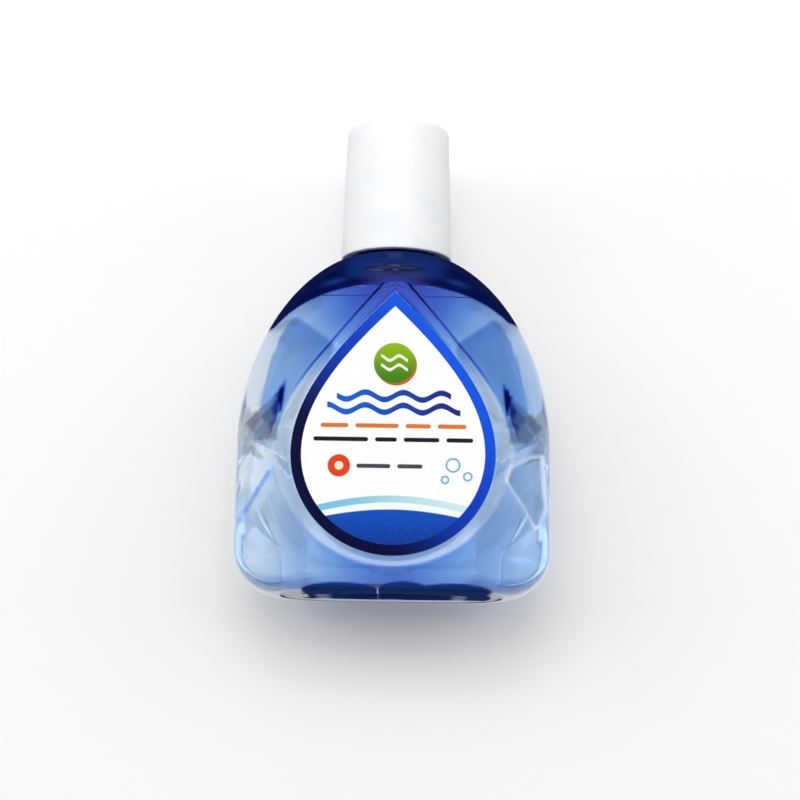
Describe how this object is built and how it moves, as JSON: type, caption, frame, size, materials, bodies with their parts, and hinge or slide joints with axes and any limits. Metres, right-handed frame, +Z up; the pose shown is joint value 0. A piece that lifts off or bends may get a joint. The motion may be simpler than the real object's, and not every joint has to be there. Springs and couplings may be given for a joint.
{
  "type": "eye drop bottle",
  "caption": "Flat oval dropper bottle of clear blue plastic with a faceted body, raised drop-shaped label panels and a white screw cap that lifts off its nozzle.",
  "frame": {"origin": "centre of the bounding box at the foot of the bottle, on the surface it stands on", "axes": "+Z up along the axis of the neck and the cap, -Y out of the front label, X across the width"},
  "size_m": [0.0376, 0.0214, 0.058],
  "materials": {
    "bottle_body": "clear blue PET, glossy",
    "dropper_plug": "natural LDPE, satin and slightly translucent",
    "cap": "white PP, satin",
    "front_label": "printed film, satin",
    "rear_label": "printed film, satin",
    "liquid_fill": "clear liquid"
  },
  "bodies": {
    "bottle": {"bottle_body": "bottle_body", "dropper_plug": "dropper_plug", "front_label": "front_label", "rear_label": "rear_label", "liquid_fill": "liquid_fill"},
    "cap": {"cap": "cap"}
  },
  "joints": [
    {"name": "cap_lift", "type": "slide", "parent": "bottle", "child": "cap", "axis": [0, 0, 1], "range_m": [0, 0.022]}
  ]
}
